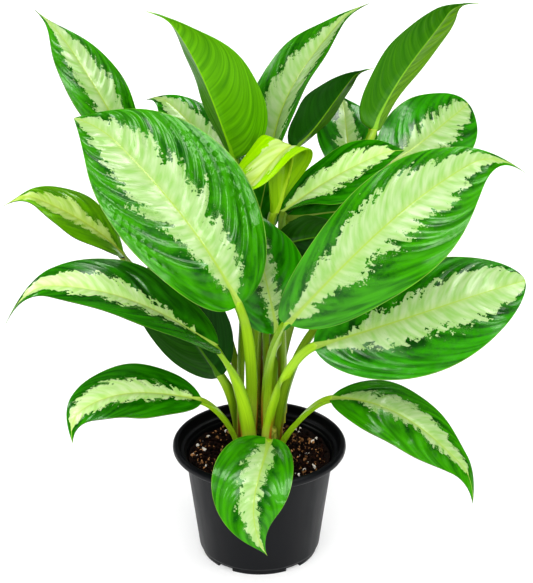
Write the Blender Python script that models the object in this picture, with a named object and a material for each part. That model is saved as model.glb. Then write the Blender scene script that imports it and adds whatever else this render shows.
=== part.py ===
"""A Chinese evergreen with cream-splashed leaves, standing in a moulded nursery pot.

The model is in metres with +Z up. Its origin is the middle of the pot's underside, on the ground,
and the front of the plant looks along -Y. A bearing is an angle round +Z: 0 is the front, 90 the
right, 180 the back and -90 the left.
"""
import math
from dataclasses import dataclass

import bmesh
import bpy
from mathutils import Matrix, Vector, noise

MM = 0.001
GAP = 0.3 * MM                      # air between two pieces that touch
MERGE = 0.01 * MM                   # points nearer than this are one
SHARP = math.radians(40)            # edges that turn more than this stay sharp
LEAF_SHARP = math.radians(60)

# The pot: 17 cm across the rim, 12 cm high, with a five-notched foot
POT_SIDES = 50
RIM_RADIUS = 85 * MM
RIM_INNER = 79 * MM
RIM_DEPTH = 9 * MM
POT_HEIGHT = 119 * MM
WALL = 2.0 * MM
BODY_TOP_RADIUS = 73 * MM
BODY_FOOT_RADIUS = 59.5 * MM
FOOT_RADIUS = 57 * MM
FOOT_WIDTH = 5 * MM
FOOT_HEIGHT = 6 * MM
CHANNEL_RADIUS = 25 * MM            # the flat middle of the underside ends here
CHANNEL_HEIGHT = 4 * MM
NOTCHES = 5
NOTCH_WIDTH = 17 * MM
DRAIN_HOLES = 10
DRAIN_RADIUS = 4 * MM
DRAIN_RING = 43 * MM

# The soil
SOIL_LEVEL = 103 * MM
SOIL_RELIEF = 2.2 * MM
SOIL_GRAIN = 16 * MM
SOIL_RINGS = 7
SOIL_SIDES = 40

# The canes: name, place in the pot (x, y), radius and top, in millimetres
CANE_DEPTH = 60 * MM                # how far a cane stands in the soil
CANE_SIDES = 12
NODE_SPACING = 9 * MM
CANES = {
    "cane_front_left": (-12, -2, 6.0, 136),
    "cane_front_right": (12, -4, 6.0, 136),
    "cane_back_left": (-14, 24, 6.0, 145),
    "cane_back_middle": (1, 46, 6.0, 152),
    "cane_back_right": (17, 26, 6.0, 148),
}

# A leaf: its petiole, then its blade
PETIOLE_ROWS = 7
BLADE_ROWS = 14
COLUMNS = (-1.0, -0.5, 0.0, 0.5, 1.0)
STALK_HALF = 4.2 * MM               # half the width of a petiole where it meets the blade
STALK_THICK = 5.0 * MM
STALK_EDGE = 1.2 * MM
STALK_CHANNEL = 0.8 * MM            # how far the sheath's edges stand up round the cane
BLADE_THICK = 0.8 * MM
RIB_THICK = 2.6 * MM                # the midrib's extra thickness at the blade's base
RIB_HALF = 0.5                      # share of the half blade that the midrib's swelling takes
ROOT_LENGTH = 1 / 12                # share of the blade over which the petiole runs out
EVEN_ROWS = 0.35                    # share of the rows spaced evenly, the rest crowd to the ends
TIP_START = 0.8                     # where along the blade the tip starts to hook and curl
RIPPLES = 2.5                       # ripples along a margin
RIPPLE_SLANT = 1.5                  # radians by which the two margins' ripples differ from the rib


@dataclass
class Leaf:
    """One leaf in millimetres and degrees."""
    name: str
    cane: str
    foot: tuple                     # height of its foot on the cane, and its bearing there
    base: tuple                     # where the petiole meets the blade
    tip: tuple
    width: float
    face: tuple                     # bearing and rise of the upper face at mid-blade
    near: tuple = (12, 0)           # the midrib off its chord, up and to the right, a third along
    far: tuple = (12, 0)            # and two thirds along
    fold: float = 10.0              # how far each half is raised from the midrib
    droop: float = 4.0              # how far the margins fall back
    hook: float = 0.0               # how far the tip turns down
    curl: float = 0.0               # and to the right
    uneven: float = 0.0             # share by which the right half is wider and the left narrower
    belly: float = 0.45             # where along its length the blade is widest
    round_: float = 0.55            # how bluntly the base is rounded, less being blunter
    point: float = 1.2              # how finely the tip is drawn out
    lobe: float = 2.0               # how far the margins reach back past the base
    sheath: float = 4.2             # half the width of the petiole at its foot
    rise: float = 30.0              # how far the petiole goes straight up from its foot
    reach: float = 30.0             # how far before the blade it takes the blade's direction
    flare: float = 0.03             # how far it leans out as it does, for each mm it rises
    wave: float = 1.0               # height of the ripples along the margins


# The leaves, from the lowest in front to the highest at the back
LEAVES = (
    Leaf("leaf_front_hanging", "cane_front_right", (107, -20), (9, -44, 141), (8, -108, 54), 76,
         (0, 46), near=(25, 5), far=(30, 20), fold=9, uneven=0.15, belly=0.37, round_=0.58,
         point=1.3, lobe=6, rise=14, reach=14),
    Leaf("leaf_front_left_low", "cane_front_left", (107, -75), (-57, -30, 180), (-188, -78, 169),
         84, (-23, 78), near=(14, 7), far=(20, 20), fold=7, hook=7, curl=-16, uneven=0.05,
         belly=0.43, round_=0.65, rise=20, reach=22),
    Leaf("leaf_front_right_low", "cane_front_right", (107, 58), (69, -35, 184), (213, -95, 118),
         79, (47, 59), near=(30, -7), far=(10, -6), fold=3, hook=11, curl=14, belly=0.37,
         round_=0.88, point=1.1, lobe=1, rise=20, reach=22),
    Leaf("leaf_left_lower", "cane_front_left", (116, 20), (-41, -50, 247), (-234, -85, 318), 93,
         (61, 70), near=(24, -4), far=(36, -3), fold=15, hook=25, curl=-15, uneven=-0.04,
         belly=0.42, round_=0.5, point=1.4, lobe=5, sheath=8),
    Leaf("leaf_right_lower", "cane_front_right", (125, -48), (54, -50, 247), (246, -45, 312), 105,
         (-14, 28), near=(8, 3), far=(11, 0), fold=6, hook=6, uneven=0.08, belly=0.48,
         round_=0.58, point=0.6, lobe=3, sheath=5.6, rise=25),
    Leaf("leaf_left_big", "cane_front_left", (120, 150), (-19, -90, 310), (-159, -20, 469), 131,
         (20, 34), near=(26, 4), far=(9, 5), fold=11, hook=7, curl=-9, uneven=-0.07, belly=0.47,
         round_=0.48, point=0.9, lobe=3, sheath=6.5, rise=80, reach=20, flare=0.13),
    Leaf("leaf_right_big", "cane_front_right", (122, -141), (27, -95, 292), (237, -52, 452), 100,
         (31, 32), near=(52, -18), far=(19, -26), fold=11, hook=22, curl=33, uneven=0.14,
         belly=0.49, round_=0.43, point=2.2, lobe=2, sheath=6, rise=80, reach=20,
         flare=0.09),
    Leaf("leaf_right_inner", "cane_front_right", (112, 130), (60, -8, 253), (150, 26, 300), 66,
         (-20, 60), near=(10, 0), far=(10, 0), sheath=5, rise=40, reach=45),
    Leaf("leaf_centre_shaded", "cane_back_right", (124, -30), (17, -46, 260), (-9, -32, 380), 76,
         (5, 12), near=(6, 0), far=(6, 0), fold=8, rise=90, reach=20),
    Leaf("leaf_left_middle", "cane_back_left", (128, -13), (-128, 15, 310), (-227, -10, 386), 71,
         (64, 62), near=(13, -1), far=(-5, 20), fold=12, hook=19, curl=-3, belly=0.47,
         round_=0.75, point=2.1, lobe=0, sheath=4.6, rise=40, reach=40),
    Leaf("leaf_left_inner", "cane_back_left", (108, -98), (-38, -5, 194), (-103, 0, 312), 88,
         (165, 5), near=(8, 8), far=(8, 8), rise=20, reach=20),
    Leaf("leaf_top_left", "cane_back_left", (130, 207), (-107, 20, 396), (-205, 80, 531), 69,
         (48, 43), near=(11, -9), far=(17, -5), fold=6, hook=-2, curl=-6, uneven=-0.05,
         belly=0.49, round_=0.63, point=1.9, rise=100, reach=50),
    Leaf("leaf_top_centre_left", "cane_back_left", (134, 134), (-23, 31, 404), (-93, 10, 558), 102,
         (149, 40), near=(-2, -11), far=(14, -3), fold=33, hook=9, curl=5, uneven=0.06,
         belly=0.37, round_=0.62, point=2.0, rise=100, reach=20, flare=0.0),
    Leaf("leaf_back_left", "cane_back_middle", (126, -97), (-19, 45, 379), (-107, 110, 441), 61,
         (12, 59), near=(6, -5), far=(13, 4), hook=7, curl=-5, belly=0.41, round_=0.58,
         point=1.4, rise=100, reach=15),
    Leaf("leaf_top_centre", "cane_back_middle", (140, -25), (12, 38, 406), (96, 103, 537), 74,
         (-56, 52), near=(17, -10), far=(7, -3), fold=26, hook=9, curl=4, belly=0.37,
         round_=0.63, point=1.7, rise=100, reach=25),
    Leaf("leaf_back_centre_right", "cane_back_middle", (134, 52), (32, 60, 402), (101, 78, 481),
         60, (-144, 26), near=(-1, -6), far=(6, -3), fold=22, hook=6, curl=-8, uneven=0.05,
         belly=0.41, round_=0.58, point=2.0, rise=100, reach=50),
    Leaf("leaf_middle_right", "cane_back_right", (128, 45), (23, 6, 359), (132, 16, 421), 75,
         (-55, 46), near=(-17, -27), far=(-1, -6), fold=14, hook=4, curl=4, uneven=0.2,
         belly=0.5, round_=0.6, point=1.0, rise=100, reach=15),
    Leaf("leaf_middle_right_dark", "cane_back_right", (134, 119), (29, 20, 346), (133, 26, 355), 44,
         (0, 35), near=(8, 0), far=(8, 0), rise=90, reach=20),
    Leaf("leaf_middle_right_under", "cane_back_left", (128, 64), (18, -26, 339), (84, -28, 350), 48,
         (175, 12), near=(5, 0), far=(5, 0), rise=90, reach=20),
    Leaf("leaf_young", "cane_back_right", (136, -95), (14, -15, 368), (-15, -49, 401), 63,
         (147, 62), near=(98, -16), far=(4, 2), fold=12, uneven=0.25, belly=0.52, round_=0.52,
         point=1.0, lobe=3, rise=90, reach=20, flare=0.05),
    Leaf("leaf_back_centre", "cane_front_left", (118, 236), (-6, 22, 322), (10, 30, 398), 41,
         (8, 22), near=(4, 0), far=(4, 0), fold=6, sheath=3.4,
         rise=90, reach=30),
    Leaf("leaf_back_right_upright", "cane_back_middle", (122, 191), (88, 82, 364), (81, 165, 418),
         60, (5, 61), near=(10, 0), far=(10, 0), rise=110, reach=40, flare=0.06),
    Leaf("leaf_top_right", "cane_back_right", (122, 192), (107, 50, 424), (183, 40, 561), 56,
         (-180, 42), near=(22, -2), far=(28, -26), fold=25, hook=12, curl=-16, uneven=-0.03,
         belly=0.38, round_=0.46, point=1.4, lobe=1, rise=120, reach=40, flare=0.07),
    Leaf("leaf_right_round", "cane_back_middle", (118, 122), (112, 60, 381), (211, 170, 407), 85,
         (29, 49), near=(6, 9), far=(5, -1), fold=7, hook=2, curl=-3, belly=0.48, round_=0.57,
         point=0.6, rise=90, reach=40, flare=0.1),
)


def clear_scene():
    for thing in list(bpy.data.objects):
        bpy.data.objects.remove(thing, do_unlink=True)


def material(name, colour, roughness, coat=0.0):
    made = bpy.data.materials.new(name)
    made.use_nodes = True
    shader = made.node_tree.nodes["Principled BSDF"]
    shader.inputs["Base Color"].default_value = (*colour, 1.0)
    shader.inputs["Roughness"].default_value = roughness
    shader.inputs["Coat Weight"].default_value = coat
    return made


def add_object(name, bm, finish, sharp_angle=SHARP):
    bmesh.ops.recalc_face_normals(bm, faces=bm.faces)
    mesh = bpy.data.meshes.new(name)
    bm.to_mesh(mesh)
    bm.free()
    mesh.shade_smooth()
    mesh.set_sharp_from_angle(angle=sharp_angle)
    made = bpy.data.objects.new(name, mesh)
    bpy.context.collection.objects.link(made)
    made.data.materials.append(finish)
    return made


def turned(profile, sides):
    """A solid turned round Z from (radius, height) points, each end on the axis or closed on itself."""
    bm = bmesh.new()
    points = [bm.verts.new((radius, 0.0, height)) for radius, height in profile]
    edges = [bm.edges.new(pair) for pair in zip(points, points[1:])]
    bmesh.ops.spin(bm, geom=points + edges, cent=(0, 0, 0), axis=(0, 0, 1), angle=math.tau,
                   steps=sides, use_merge=True)
    bmesh.ops.remove_doubles(bm, verts=bm.verts, dist=MERGE)
    return bm


def cut(target, cutter):
    """Take one solid out of another. The cutter stays in the scene, hidden."""
    cutter.hide_render = True
    cutter.display_type = "WIRE"
    boolean = target.modifiers.new("cut", "BOOLEAN")
    boolean.operation = "DIFFERENCE"
    boolean.solver = "EXACT"
    boolean.object = cutter


def wall_radius(height):
    """Outer radius of the pot's tapering body."""
    share = (height - FOOT_HEIGHT) / (POT_HEIGHT - RIM_DEPTH - FOOT_HEIGHT)
    return BODY_FOOT_RADIUS + (BODY_TOP_RADIUS - BODY_FOOT_RADIUS) * share


def pot_inside():
    """Profile of the pot's cavity, from the lip down to the middle."""
    shoulder = POT_HEIGHT - RIM_DEPTH
    floor = CHANNEL_HEIGHT + WALL
    return [
        (RIM_INNER, POT_HEIGHT - 1.2 * MM),
        (RIM_INNER - 1.5 * MM, shoulder + 1.0 * MM),
        (wall_radius(shoulder) - WALL, shoulder - 5 * MM),
        (wall_radius(floor + 3 * MM) - WALL, floor + 3 * MM),
        (wall_radius(floor) - WALL - 3 * MM, floor),
        (CHANNEL_RADIUS + 1 * MM, floor),
        (CHANNEL_RADIUS - 1.5 * MM, WALL),
        (0.0, WALL),
    ]


def pot_outside():
    """Profile of the pot's outside, from the middle of the underside up to the lip."""
    shoulder = POT_HEIGHT - RIM_DEPTH
    return [
        (0.0, 0.0),
        (CHANNEL_RADIUS, 0.0),
        (CHANNEL_RADIUS + 2 * MM, CHANNEL_HEIGHT),
        (FOOT_RADIUS - FOOT_WIDTH - 1 * MM, CHANNEL_HEIGHT),
        (FOOT_RADIUS - FOOT_WIDTH, 0.0),
        (FOOT_RADIUS, 0.0),
        (FOOT_RADIUS + 0.6 * MM, FOOT_HEIGHT - 1 * MM),
        (BODY_FOOT_RADIUS - 0.8 * MM, FOOT_HEIGHT),
        (BODY_FOOT_RADIUS + 0.3 * MM, FOOT_HEIGHT + 1.5 * MM),
        (wall_radius(shoulder), shoulder),
        (RIM_RADIUS - 2.5 * MM, shoulder + 0.4 * MM),
        (RIM_RADIUS - 0.6 * MM, shoulder + 1.8 * MM),
        (RIM_RADIUS, shoulder + 4 * MM),
        (RIM_RADIUS - 0.5 * MM, POT_HEIGHT - 2.4 * MM),
        (RIM_RADIUS - 2.2 * MM, POT_HEIGHT - 0.6 * MM),
        (RIM_INNER + 1.4 * MM, POT_HEIGHT),
    ]


def make_pot(finish):
    pot = add_object("pot", turned(pot_outside() + pot_inside(), POT_SIDES), finish)
    bm = bmesh.new()
    for number in range(NOTCHES):
        bearing = math.tau * (number + 0.5) / NOTCHES
        place = Matrix.Rotation(bearing, 4, "Z") @ Matrix.Translation((0, -FOOT_RADIUS, 0))
        size = Matrix.Diagonal((NOTCH_WIDTH, 2 * FOOT_WIDTH + 6 * MM, 2 * CHANNEL_HEIGHT - 0.4 * MM, 1))
        bmesh.ops.create_cube(bm, size=1.0, matrix=place @ size)
    for number in range(DRAIN_HOLES):
        bearing = math.tau * number / DRAIN_HOLES
        place = Matrix.Rotation(bearing, 4, "Z") @ Matrix.Translation((0, -DRAIN_RING, CHANNEL_HEIGHT))
        bmesh.ops.create_cone(bm, cap_ends=True, segments=12, radius1=DRAIN_RADIUS,
                              radius2=DRAIN_RADIUS, depth=4 * WALL, matrix=place)
    cut(pot, add_object("pot_cutter", bm, finish))
    return pot


def soil_height(x, y):
    """Top of the soil, with low lumps."""
    lumps = noise.noise(Vector((x / SOIL_GRAIN, y / SOIL_GRAIN, 0.5)))
    crumbs = noise.noise(Vector((2.3 * x / SOIL_GRAIN, 2.3 * y / SOIL_GRAIN, 4.5)))
    return SOIL_LEVEL + SOIL_RELIEF * (lumps + 0.5 * crumbs)


def make_soil(finish):
    """The soil fills the pot to the gap, with a plain hole for each cane."""
    inside = [(max(radius - GAP, 0.0), height + GAP) for radius, height in pot_inside()[3:]]
    edge = wall_radius(SOIL_LEVEL) - WALL - 2 * GAP
    top = [(edge * ring / SOIL_RINGS, SOIL_LEVEL) for ring in range(SOIL_RINGS + 1)]
    bm = turned(top + inside, SOIL_SIDES)
    for vert in bm.verts:
        if vert.co.z > SOIL_LEVEL - 0.5 * MM:
            vert.co.z = soil_height(vert.co.x, vert.co.y)
    soil = add_object("soil", bm, finish)
    bm = bmesh.new()
    for x, y, radius, _ in CANES.values():
        floor = SOIL_LEVEL - CANE_DEPTH - GAP
        depth = CANE_DEPTH + 20 * MM
        bmesh.ops.create_cone(bm, cap_ends=True, segments=CANE_SIDES, radius1=radius * MM + 2 * GAP,
                              radius2=radius * MM + 2 * GAP, depth=depth,
                              matrix=Matrix.Translation((x * MM, y * MM, floor + depth / 2)))
    cut(soil, add_object("soil_cutter", bm, finish))
    return soil


def make_cane(name, finish):
    """A cane with a ring at each old leaf scar, closed by a blunt growing tip."""
    x, y, radius, top = (value * MM for value in CANES[name])
    foot = SOIL_LEVEL - CANE_DEPTH
    profile = [(0.0, foot), (radius, foot)]
    height = SOIL_LEVEL + 2 * MM
    while height < top - 4 * MM:
        profile += [(radius - 0.5 * MM, height), (radius, height + 1.2 * MM)]
        height += NODE_SPACING
    profile += [(radius - 0.5 * MM, top - 3 * MM), (0.55 * radius, top), (0.0, top + 1 * MM)]
    bm = turned(profile, CANE_SIDES)
    bmesh.ops.translate(bm, verts=bm.verts, vec=(x, y, 0.0))
    return add_object(name, bm, finish)


def toward(bearing, rise=0.0):
    """Unit vector at a bearing and a rise, in degrees."""
    turn = math.radians(bearing)
    lift = math.radians(rise)
    return Vector((math.sin(turn) * math.cos(lift), -math.cos(turn) * math.cos(lift), math.sin(lift)))


def bezier(points, share):
    """Point and direction on a cubic curve."""
    a, b, c, d = points
    rest = 1.0 - share
    place = a * rest ** 3 + b * 3 * rest ** 2 * share + c * 3 * rest * share ** 2 + d * share ** 3
    slope = (b - a) * rest ** 2 + (c - b) * 2 * rest * share + (d - c) * share ** 2
    return place, slope.normalized()


def midrib(leaf):
    """The blade's midrib as a cubic curve, bowed off its chord."""
    base = Vector(leaf.base) * MM
    chord = Vector(leaf.tip) * MM - base
    face = toward(*leaf.face)
    up = (face - chord * face.dot(chord) / chord.length_squared).normalized()
    right = chord.normalized().cross(up)
    near, far = ((up * rise + right * sway) * MM * 4 / 3 for rise, sway in (leaf.near, leaf.far))
    return (base, base + chord / 3 + near, base + chord * 2 / 3 + far, base + chord)


def petiole(leaf, rib):
    """The petiole's curve: up along its cane, then over to the blade."""
    x, y, radius, _ = (value * MM for value in CANES[leaf.cane])
    height, bearing = leaf.foot
    away = toward(bearing)
    foot = Vector((x, y, height * MM)) + away * (radius + GAP)
    climb = Vector((0, 0, leaf.rise * MM)) + away * leaf.flare * leaf.rise * MM
    start = (rib[1] - rib[0]).normalized()
    return (foot, foot + climb, rib[0] - start * leaf.reach * MM, rib[0]), -away


def smooth(share):
    return share * share * (3 - 2 * share)


def blade_half(leaf, u):
    """Half the blade's width: round at the base, drawn out to a point at the tip."""
    power = math.log(0.5) / math.log(leaf.belly)
    swell = math.sin(math.pi * min(u, 1.0) ** power)
    power = leaf.round_ + (leaf.point - leaf.round_) * u * u
    return leaf.width / 2 * MM * max(swell, 0.0) ** power


def leaf_rows(leaf):
    """Rows of the leaf's upper face from foot to tip: each is its points, normals and thicknesses."""
    rib = midrib(leaf)
    stalk, inward = petiole(leaf, rib)
    face = toward(*leaf.face)
    rows = []
    for number in range(PETIOLE_ROWS):
        share = number / PETIOLE_ROWS
        place, along = bezier(stalk, share)
        normal = inward.lerp(face, smooth(share))
        normal = (normal - along * normal.dot(along)).normalized()
        side = along.cross(normal)
        half = STALK_HALF + (leaf.sheath * MM - STALK_HALF) * (1 - smooth(share))
        row = []
        for v in COLUMNS:
            point = place + side * half * v + normal * STALK_CHANNEL * v * v * (1 - share)
            thick = STALK_EDGE + (STALK_THICK - STALK_EDGE) * math.sqrt(max(1 - v * v, 0.0))
            row.append((point, normal, thick))
        rows.append(row)
    fold = math.radians(leaf.fold)
    for number in range(BLADE_ROWS + 1):
        share = number / BLADE_ROWS
        u = EVEN_ROWS * share + (1 - EVEN_ROWS) * (1 - math.cos(math.pi * share)) / 2
        place, along = bezier(rib, u)
        normal = (face - along * face.dot(along)).normalized()
        side = along.cross(normal)
        end = max((u - TIP_START) / (1 - TIP_START), 0.0)
        place = place + (side * leaf.curl - normal * leaf.hook) * MM * end * end
        row = []
        for v in COLUMNS:
            spread = abs(v)
            wider = 1 + math.copysign(leaf.uneven, v)
            half = max(blade_half(leaf, u) * wider, STALK_HALF * (1 - u) ** 8)
            lift = half * spread * math.sin(fold) - leaf.droop * MM * v * v * math.sin(math.pi * u)
            ripple = leaf.wave * MM * math.sin(math.tau * RIPPLES * u + RIPPLE_SLANT * v) * v * v
            ripple *= math.sin(math.pi * u)
            point = place + side * half * v * math.cos(fold) + normal * (lift + ripple)
            point -= along * leaf.lobe * MM * spread * (1 - u) ** 4
            thick = BLADE_THICK + RIB_THICK * (1 - u) * max(1 - spread / RIB_HALF, 0.0)
            root = max(1 - u / ROOT_LENGTH, 0.0)
            thick += root * (STALK_THICK - BLADE_THICK - RIB_THICK) * math.sqrt(max(1 - v * v, 0.0))
            row.append((point, normal, thick))
        rows.append(row)
    return rows


def make_leaf(leaf, finish):
    """One sheet from the petiole's foot to the blade's tip, thickened along its underside."""
    rows = leaf_rows(leaf)
    bm = bmesh.new()
    grid = [[bm.verts.new(point) for point, _, _ in row] for row in rows]
    thickness = {}
    for verts, row in zip(grid, rows):
        for vert, (_, normal, thick) in zip(verts, row):
            thickness[vert] = (normal, thick)
    middle = len(COLUMNS) // 2
    for low, high in zip(grid, grid[1:]):
        for column in range(len(COLUMNS) - 1):
            corners = (low[column], low[column + 1], high[column + 1], high[column])
            if column < middle:
                corners = corners[1:] + corners[:1]
            bm.faces.new((corners[0], corners[1], corners[2]))
            bm.faces.new((corners[0], corners[2], corners[3]))
    under = {vert: bm.verts.new(vert.co - normal * thick)
             for vert, (normal, thick) in thickness.items()}
    for face in list(bm.faces):
        bm.faces.new([under[vert] for vert in reversed(face.verts)])
    rim = [edge.verts for edge in bm.edges if edge.is_boundary and edge.verts[0] in under]
    for one, two in rim:
        bm.faces.new((one, two, under[two]))
        bm.faces.new((one, under[two], under[one]))
    tip = grid[-1] + [under[vert] for vert in grid[-1]]
    bmesh.ops.remove_doubles(bm, verts=tip, dist=MERGE)
    return add_object(leaf.name, bm, finish, LEAF_SHARP)


def main():
    clear_scene()
    black = material("black_polypropylene", (0.012, 0.012, 0.013), 0.42)
    peat = material("peat_and_bark", (0.030, 0.014, 0.008), 0.95)
    cane = material("cane_bark", (0.20, 0.26, 0.06), 0.6)
    green = material("leaf_green", (0.07, 0.25, 0.03), 0.35, 0.2)
    young = material("leaf_young_green", (0.30, 0.50, 0.06), 0.4, 0.2)
    make_pot(black)
    make_soil(peat)
    for name in CANES:
        make_cane(name, cane)
    for leaf in LEAVES:
        make_leaf(leaf, young if leaf.name == "leaf_young" else green)


main()
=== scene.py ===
"""The looks of a Chinese evergreen with cream-splashed leaves, standing in a moulded nursery pot.

Lengths are in metres, and in millimetres where MM stands beside them or a comment says so. A point of
a leaf's blade is given by u, from the base at 0 to the tip at 1, and by v, from the left margin at -1 to
the right one at 1. A bearing is an angle round Z: 0 is the front, 90 the right and 180 the back.
"""
import math
import random
from dataclasses import dataclass

import bmesh
import bpy
from mathutils import Euler, Matrix, Vector, noise


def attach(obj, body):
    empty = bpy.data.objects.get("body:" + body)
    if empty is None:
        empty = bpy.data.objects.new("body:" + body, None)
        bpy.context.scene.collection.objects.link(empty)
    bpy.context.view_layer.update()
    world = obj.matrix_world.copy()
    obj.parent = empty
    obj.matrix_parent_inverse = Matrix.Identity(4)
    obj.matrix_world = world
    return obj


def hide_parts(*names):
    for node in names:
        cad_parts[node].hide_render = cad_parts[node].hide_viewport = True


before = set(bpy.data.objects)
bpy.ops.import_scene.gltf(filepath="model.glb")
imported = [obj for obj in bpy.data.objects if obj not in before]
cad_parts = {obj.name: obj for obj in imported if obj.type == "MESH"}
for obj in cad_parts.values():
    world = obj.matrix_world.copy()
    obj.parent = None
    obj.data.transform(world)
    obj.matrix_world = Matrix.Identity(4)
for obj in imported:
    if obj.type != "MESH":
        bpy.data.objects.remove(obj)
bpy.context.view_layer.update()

MM = 0.001
GAP = 0.3 * MM                      # air between two pieces that touch
MERGE = 0.01 * MM                   # points nearer than this are one
SEED = 7

# The pot, as the frame has it
POT_STEPS = 160
POT_SHARP = 32                      # degrees past which an edge of it stays sharp
RIM_RADIUS = 85 * MM
RIM_INNER = 79 * MM
RIM_DEPTH = 9 * MM
POT_HEIGHT = 119 * MM
WALL = 2.0 * MM
BODY_TOP_RADIUS = 73 * MM
BODY_FOOT_RADIUS = 59.5 * MM
FOOT_RADIUS = 57 * MM
FOOT_WIDTH = 5 * MM
FOOT_HEIGHT = 6 * MM
CHANNEL_RADIUS = 25 * MM            # the flat middle of the underside ends here
CHANNEL_HEIGHT = 4 * MM
NOTCHES = 5
NOTCH_WIDTH = 17 * MM
DRAIN_HOLES = 10
DRAIN_RADIUS = 4 * MM
DRAIN_RING = 43 * MM
CORNER = 1.1 * MM                   # how much the corners of its outline are rounded
FLOW_WIDTH = 11 * MM                # the faint flow marks of the moulding
FLOW_LENGTH = 55 * MM
MOULD_GRIT = 0.55 * MM              # grit of the mould, as coarse as it needs to be to show
POLYPROPYLENE_IOR = 1.49

# The soil
SOIL_LEVEL = 103 * MM
SOIL_RELIEF = 2.2 * MM
SOIL_GRAIN = 16 * MM
SOIL_RINGS = 46
SOIL_STEPS = 150
CRUMB = 3.2 * MM                    # size of the crumbs in the soil's own surface
CRUMB_RELIEF = 1.3 * MM
BIT_EDGE = 4 * MM                   # how far the loose bits stay from the pot's wall
BIT_LIFT = 0.35                     # how far up a bit's middle is, as a share of its size

# The canes: name, place in the pot (x, y), radius and top, in millimetres
CANE_DEPTH = 60 * MM                # how far a cane stands in the soil
CANE_STEPS = 32
NODE_SPACING = 9 * MM               # from one ring of an old leaf to the next
CANES = {
    "cane_front_left": (-12, -2, 6.0, 136),
    "cane_front_right": (12, -4, 6.0, 136),
    "cane_back_left": (-14, 24, 6.0, 145),
    "cane_back_middle": (1, 46, 6.0, 152),
    "cane_back_right": (17, 26, 6.0, 148),
}

# A leaf's form
STALK_ROWS = 34
ROW = 1.6                           # length in mm of a row of the blade
HALF_COLUMNS = 8                    # columns in each half of the blade, to which is added
COLUMN = 3.4                        # one for each of these mm of the half's width
CROWDING = 1.15                     # over 1, the columns crowd towards the midrib
STALK_HALF = 4.2 * MM               # half the width of a petiole where it meets the blade
STALK_THICK = 5.0 * MM
STALK_EDGE = 1.0 * MM
STALK_CHANNEL = 0.8 * MM            # how far the sheath's edges stand up round the cane
BLADE_THICK = 0.7 * MM
RIB_THICK = 2.6 * MM                # the midrib's extra thickness at the blade's base
RIB_HALF = 2.4 * MM                 # half the width of the midrib's ridge there
RIB_GROOVE = 0.7 * MM               # depth of the groove over the midrib
ROOT_LENGTH = 1 / 12                # share of the blade over which the petiole runs out
EVEN_ROWS = 0.5                     # share of the rows spaced evenly, the rest crowd to the ends
TIP_START = 0.8                     # where along the blade the tip starts to hook and curl
RIPPLES = 2.5                       # ripples along a margin
RIPPLE_SLANT = 1.5                  # radians by which the two margins' ripples differ from the rib
VEIN_SPACING = 6.0                  # mm from one side vein to the next, to which is added
SPACING_GAIN = 0.12                 # this for each mm of the blade's width
PUFF_GRAIN = 22                     # mm along the blade over which it puffs up unevenly
SPLASH_START = 0.06                 # where along the blade the cream splash starts

# A leaf's finishes
FACE_VEINS = 3.0                    # small side veins to each large one, on the upper face
BACK_VEINS = 2.0                    # and on the underside
LEAF_IOR = 1.45                     # wax on living tissue
PETIOLE_IOR = 1.42
FACE_PLACE, BACK_PLACE, STALK_PLACE = 0, 1, 2
OFF_RIB = (5.0, 0.5, 1.0)           # the petiole's place among the ribs: far from them, and marked

# Numbered sockets of a colour Mix node, where one name stands for several
FACTOR, COLOUR_A, COLOUR_B = 0, 6, 7
MIXED = 2

# The camera
IMAGE_HEIGHT = 583                  # pixels, the photograph's long side
FOCAL_PIXELS = 1977                 # the focal length in those pixels
SENSOR = 36                         # mm
CAMERA_PLACE = (0.007, -1.70, 1.06)
CAMERA_DOWN = 24.67                 # degrees that it looks down

# The stage
FLOOR_HALF = 14.0
# The floor's own faint glow, painted light that lightens the shadows on it
FLOOR_GLOW = 0.25
WORLD_STRENGTH = 0.08
PLANT_MIDDLE = (0.0, 0.0, 0.3)      # what the soft boxes look at
SKY_LIGHTS = (                      # name, the way to it, its breadth in degrees, its strength
    ("front_key", (-0.4, -1.0, 0.75), 60, 2.4),
    ("front_fill", (0.8, -0.7, 0.7), 70, 1.9),
    ("top_fill", (0.0, 0.3, 1.0), 80, 1.6),
)
SOFT_BOXES = (                      # name, place, side in metres, power in watts
    ("left_box", (-0.9, -1.3, 1.5), 0.5, 9),
    ("top_box", (0.3, -0.7, 1.8), 0.5, 9),
    ("front_box", (0.6, -1.9, 1.45), 0.6, 12),
    ("right_front_box", (1.05, -0.7, 1.65), 0.45, 6),
    ("right_box", (1.1, 0.1, 1.8), 0.5, 10),
    ("back_box", (0.4, 0.9, 1.9), 0.5, 9),
    ("back_left_box", (-1.3, 0.5, 1.5), 0.5, 9),
)


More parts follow.
